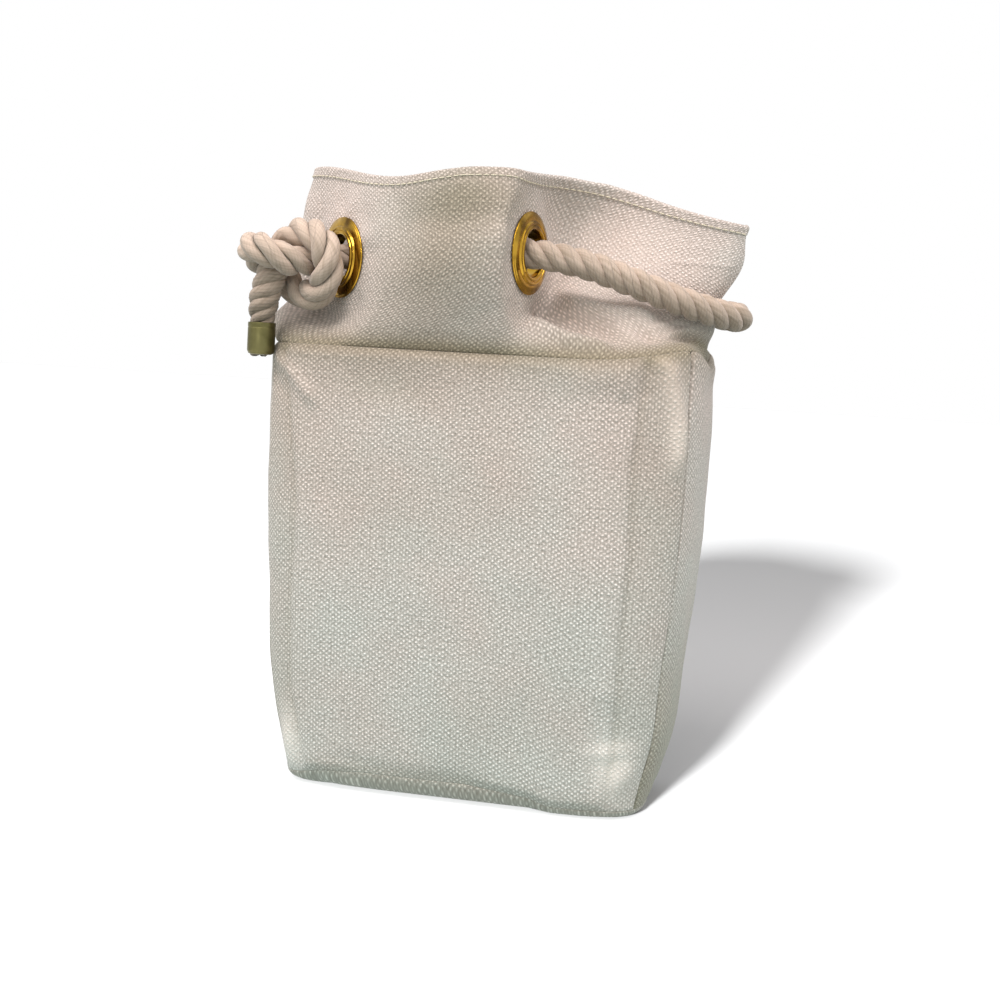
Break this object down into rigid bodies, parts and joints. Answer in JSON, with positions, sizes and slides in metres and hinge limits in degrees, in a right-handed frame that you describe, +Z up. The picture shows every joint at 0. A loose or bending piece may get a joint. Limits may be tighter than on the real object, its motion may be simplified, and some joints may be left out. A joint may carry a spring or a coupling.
{
  "type": "drawstring canvas bag",
  "caption": "Padded canvas storage bag with a tapered box body and a loose collar drawn in by a knotted cotton rope through brass eyelets.",
  "frame": {"origin": "centre of the flat underside of the base", "axes": "+Z up, -Y the front panel, +X towards the end with the rope loop"},
  "size_m": [0.2203, 0.1236, 0.276],
  "materials": {
    "canvas": "coarse plain-woven natural white cotton canvas, matt",
    "lining": "heat-resistant padded lining cloth, quiet silver grey",
    "board": "fibre board stiffener, matt",
    "brass": "polished golden brass",
    "rope": "soft three-strand cotton rope, cream",
    "cap": "dulled brass, olive brown"
  },
  "bodies": {
    "bag": {"front_panel": "canvas", "back_panel": "canvas", "left_gusset": "canvas", "right_gusset": "canvas", "base_panel": "canvas", "base_board": "board", "base_pad": "lining", "lining_front": "lining", "lining_back": "lining", "lining_left": "lining", "lining_right": "lining", "collar_front": "canvas", "collar_back": "canvas", "eyelet_front_left": "brass", "eyelet_front_right": "brass", "eyelet_back_left": "brass", "eyelet_back_right": "brass", "washer_front_left": "brass", "washer_front_right": "brass", "washer_back_left": "brass", "washer_back_right": "brass", "rope_inner_front": "rope", "rope_inner_back": "rope"},
    "front_knot": {"rope_knot_front": "rope", "rope_cap_front": "cap"},
    "back_knot": {"rope_knot_back": "rope", "rope_cap_back": "cap"},
    "side_loop": {"rope_loop": "rope"}
  },
  "joints": [
    {"name": "front_knot_pull", "type": "slide", "parent": "bag", "child": "front_knot", "axis": [-0.9478, -0.319, 0], "range_m": [0, 0.02], "deforming": ["rope_inner_front"]},
    {"name": "back_knot_pull", "type": "slide", "parent": "bag", "child": "back_knot", "axis": [-0.9478, 0.319, 0], "range_m": [0, 0.02], "deforming": ["rope_inner_back"]},
    {"name": "side_loop_pull", "type": "slide", "parent": "bag", "child": "side_loop", "axis": [0.9945, 0, -0.1045], "range_m": [0, 0.02], "deforming": ["rope_inner_front", "rope_inner_back"]}
  ]
}
